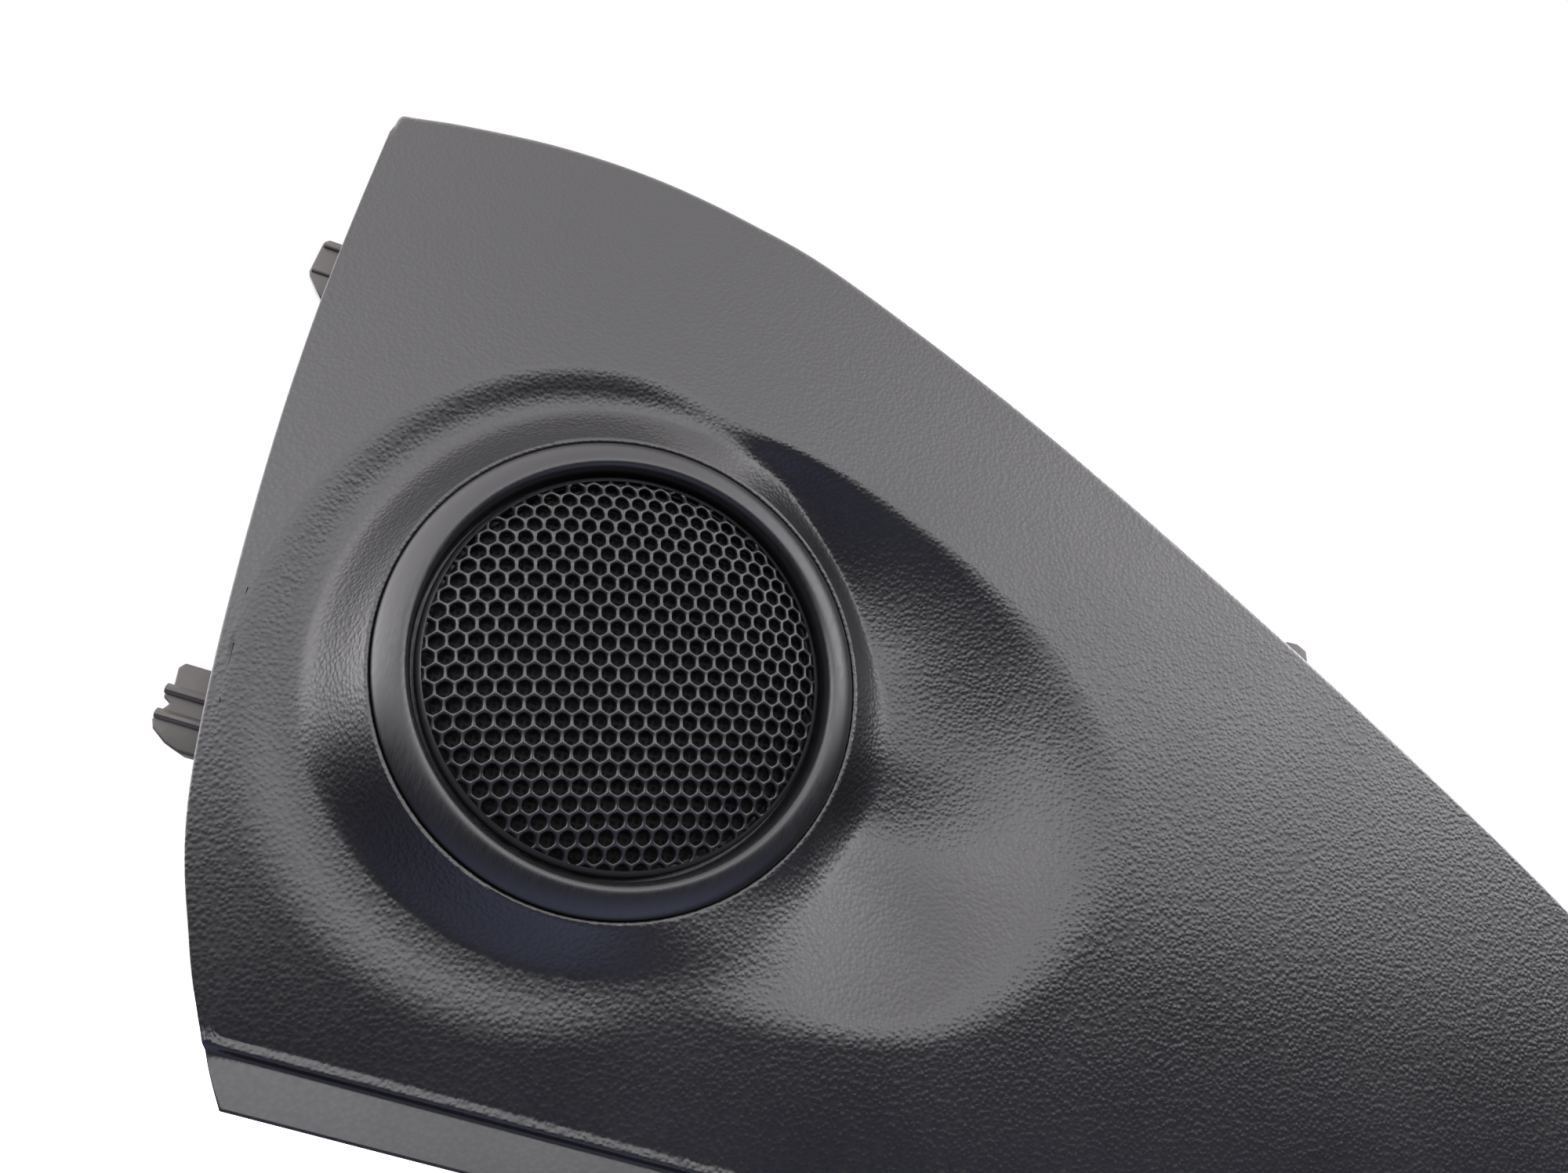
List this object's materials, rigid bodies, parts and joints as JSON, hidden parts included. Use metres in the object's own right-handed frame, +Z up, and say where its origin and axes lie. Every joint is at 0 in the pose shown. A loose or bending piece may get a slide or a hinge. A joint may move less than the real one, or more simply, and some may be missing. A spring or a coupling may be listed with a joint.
{
  "type": "car tweeter in a door mirror-corner trim",
  "caption": "Moulded triangular door-corner trim panel with a recessed, aimed dome tweeter behind a hexagonal mesh grille, with rear clips, bracket and connector socket.",
  "frame": {"origin": "centre of the flat end of the seat boss on the back, where the trim rests on the door frame", "axes": "+X to the front of the car, +Z up, +Y into the door; the visible face looks towards -Y"},
  "size_m": [0.22, 0.0419, 0.1225],
  "materials": {
    "grained_trim": "fine leather grain, dark grey, matt",
    "satin_trim": "smooth satin moulded plastic",
    "clip_plastic": "smooth, slightly brown moulded plastic",
    "grille_plastic": "black moulded mesh, half gloss",
    "acoustic_cloth": "fine black open-weave cloth",
    "black_foam": "closed-cell foam",
    "frame_plastic": "black glass-filled plastic",
    "coated_silk": "coated woven silk",
    "former_film": "amber film",
    "coil_wire": "enamelled winding",
    "plated_steel": "zinc plated",
    "ferrite": "ground ferrite, matt",
    "grey_felt": "pressed felt",
    "tinned_pin": "tin plated",
    "capacitor_film": "wrapped film with resin ends",
    "lead_insulation": "soft insulation"
  },
  "bodies": {
    "trim_assembly": {"trim_panel": "grained_trim", "bezel_ring": "satin_trim", "grille_mesh": "grille_plastic", "acoustic_cloth": "acoustic_cloth", "foam_gasket": "black_foam", "tweeter_frame": "frame_plastic", "surround_roll": "coated_silk", "top_plate": "plated_steel", "ring_magnet": "ferrite", "pole_yoke": "plated_steel", "damping_pad": "grey_felt", "rear_cover": "frame_plastic", "rear_absorber": "grey_felt", "mounting_bracket": "frame_plastic", "bracket_screw_1": "plated_steel", "bracket_screw_2": "plated_steel", "bracket_screw_3": "plated_steel", "connector_socket": "frame_plastic", "socket_pin_1": "tinned_pin", "socket_pin_2": "tinned_pin", "crossover_capacitor": "capacitor_film", "lead_to_socket": "lead_insulation", "lead_to_coil": "lead_insulation", "side_clip_lower": "clip_plastic", "side_clip_upper": "clip_plastic", "locating_hook": "clip_plastic", "spring_clip_front": "plated_steel", "spring_clip_upper": "plated_steel", "felt_strip_lower": "grey_felt", "felt_strip_upper": "grey_felt"},
    "diaphragm": {"dome_diaphragm": "coated_silk", "coil_former": "former_film", "voice_coil": "coil_wire"}
  },
  "joints": [
    {"name": "diaphragm_travel", "type": "slide", "parent": "trim_assembly", "child": "diaphragm", "axis": [0.1461, -0.9891, 0.0175], "range_m": [-0.0003, 0.0003], "stiffness_N_per_m": 100}
  ]
}
